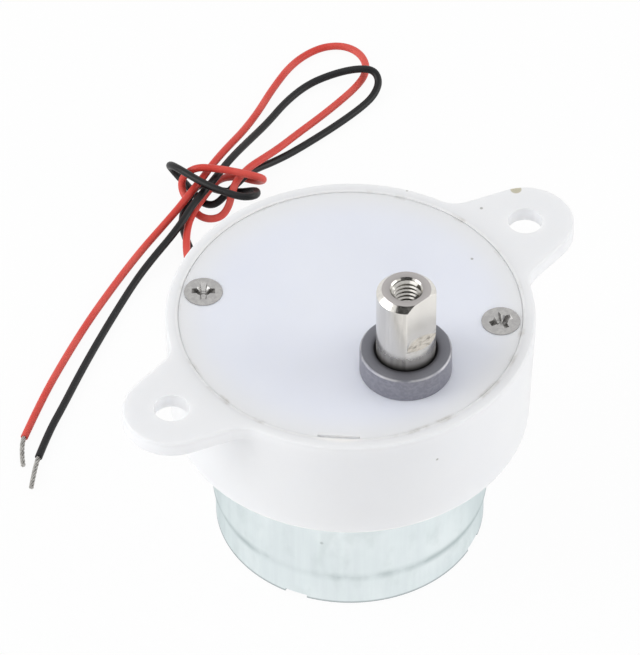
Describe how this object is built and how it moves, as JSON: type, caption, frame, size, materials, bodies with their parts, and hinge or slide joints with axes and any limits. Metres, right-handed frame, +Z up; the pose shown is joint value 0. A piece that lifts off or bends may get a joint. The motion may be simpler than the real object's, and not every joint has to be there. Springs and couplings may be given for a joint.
{
  "type": "geared dc motor",
  "caption": "Small geared DC motor with a round white gearbox, two mounting ears, an off-centre output shaft with a milled flat and a tapped end, a steel-cased motor below and loosely knotted leads.",
  "frame": {"origin": "centre of the motor can's open end, on the surface it stands on", "axes": "+Z up along the motor axis towards the output end, +X along the line through the two ear holes, the output shaft towards -Y and the leads leaving towards +Y"},
  "size_m": [0.0908, 0.1004, 0.0525],
  "materials": {
    "housing_nylon": "satin white",
    "lid_nylon": "satin bluish white",
    "gear_acetal": "satin ivory",
    "screw_steel": "bright plated",
    "shaft_steel": "turned and milled, nickel plated",
    "pin_steel": "ground",
    "sintered_metal": "matt dark grey, sintered",
    "bronze_bush": "matt, oil-filled",
    "can_steel": "galvanised",
    "magnet_ferrite": "matt dark grey",
    "core_steel": "laminated",
    "copper": "bare or enamelled copper",
    "brass": "stamped",
    "carbon": "matt",
    "cap_plastic": "moulded",
    "washer_fibre": "matt",
    "red_insulation": "satin",
    "black_insulation": "satin",
    "tinned_copper": "tinned strands"
  },
  "bodies": {
    "frame": {"gearbox_housing": "housing_nylon", "gearbox_lid": "lid_nylon", "lid_screws": "screw_steel", "motor_screws": "screw_steel", "gear_pins": "pin_steel", "output_bush": "sintered_metal", "lower_bush": "bronze_bush", "motor_can": "can_steel", "flux_ring": "can_steel", "field_magnets": "magnet_ferrite", "magnet_clips": "pin_steel", "front_bush": "bronze_bush", "rear_bush": "bronze_bush", "end_cap": "cap_plastic", "terminals": "brass", "brushes": "carbon", "brush_arms": "brass", "red_lead": "red_insulation", "black_lead": "black_insulation", "red_tinned_end": "tinned_copper", "black_tinned_end": "tinned_copper"},
    "output": {"output_shaft": "shaft_steel", "output_gear": "gear_acetal", "shaft_clip": "pin_steel", "output_washer": "washer_fibre"},
    "first_gear": {"first_gear": "gear_acetal"},
    "second_gear": {"second_gear": "gear_acetal"},
    "third_gear": {"third_gear": "gear_acetal"},
    "armature": {"motor_shaft": "pin_steel", "armature_core": "core_steel", "armature_windings": "copper", "commutator_barrel": "cap_plastic", "commutator": "copper", "thrust_washers": "washer_fibre", "motor_pinion": "brass"}
  },
  "joints": [
    {"name": "output_spin", "type": "hinge", "parent": "frame", "child": "output", "pos_m": [0, -0.0124, 0.0375], "axis": [0, 0, 1], "continuous": true},
    {"name": "third_gear_spin", "type": "hinge", "parent": "frame", "child": "third_gear", "pos_m": [-0.01092, -0.00498, 0.0314], "axis": [0, 0, 1], "continuous": true},
    {"name": "second_gear_spin", "type": "hinge", "parent": "frame", "child": "second_gear", "pos_m": [-0.00375, 0.00526, 0.02835], "axis": [0, 0, 1], "continuous": true},
    {"name": "first_gear_spin", "type": "hinge", "parent": "frame", "child": "first_gear", "pos_m": [-0.01092, -0.00498, 0.02555], "axis": [0, 0, 1], "continuous": true},
    {"name": "armature_spin", "type": "hinge", "parent": "frame", "child": "armature", "pos_m": [0, 0, 0.0124], "axis": [0, 0, 1], "continuous": true}
  ],
  "couplings": [
    {"joint": "third_gear_spin", "follows": "output_spin", "ratio": -2.6667},
    {"joint": "second_gear_spin", "follows": "output_spin", "ratio": 8.4444},
    {"joint": "first_gear_spin", "follows": "output_spin", "ratio": -26.741},
    {"joint": "armature_spin", "follows": "output_spin", "ratio": 101.61}
  ]
}
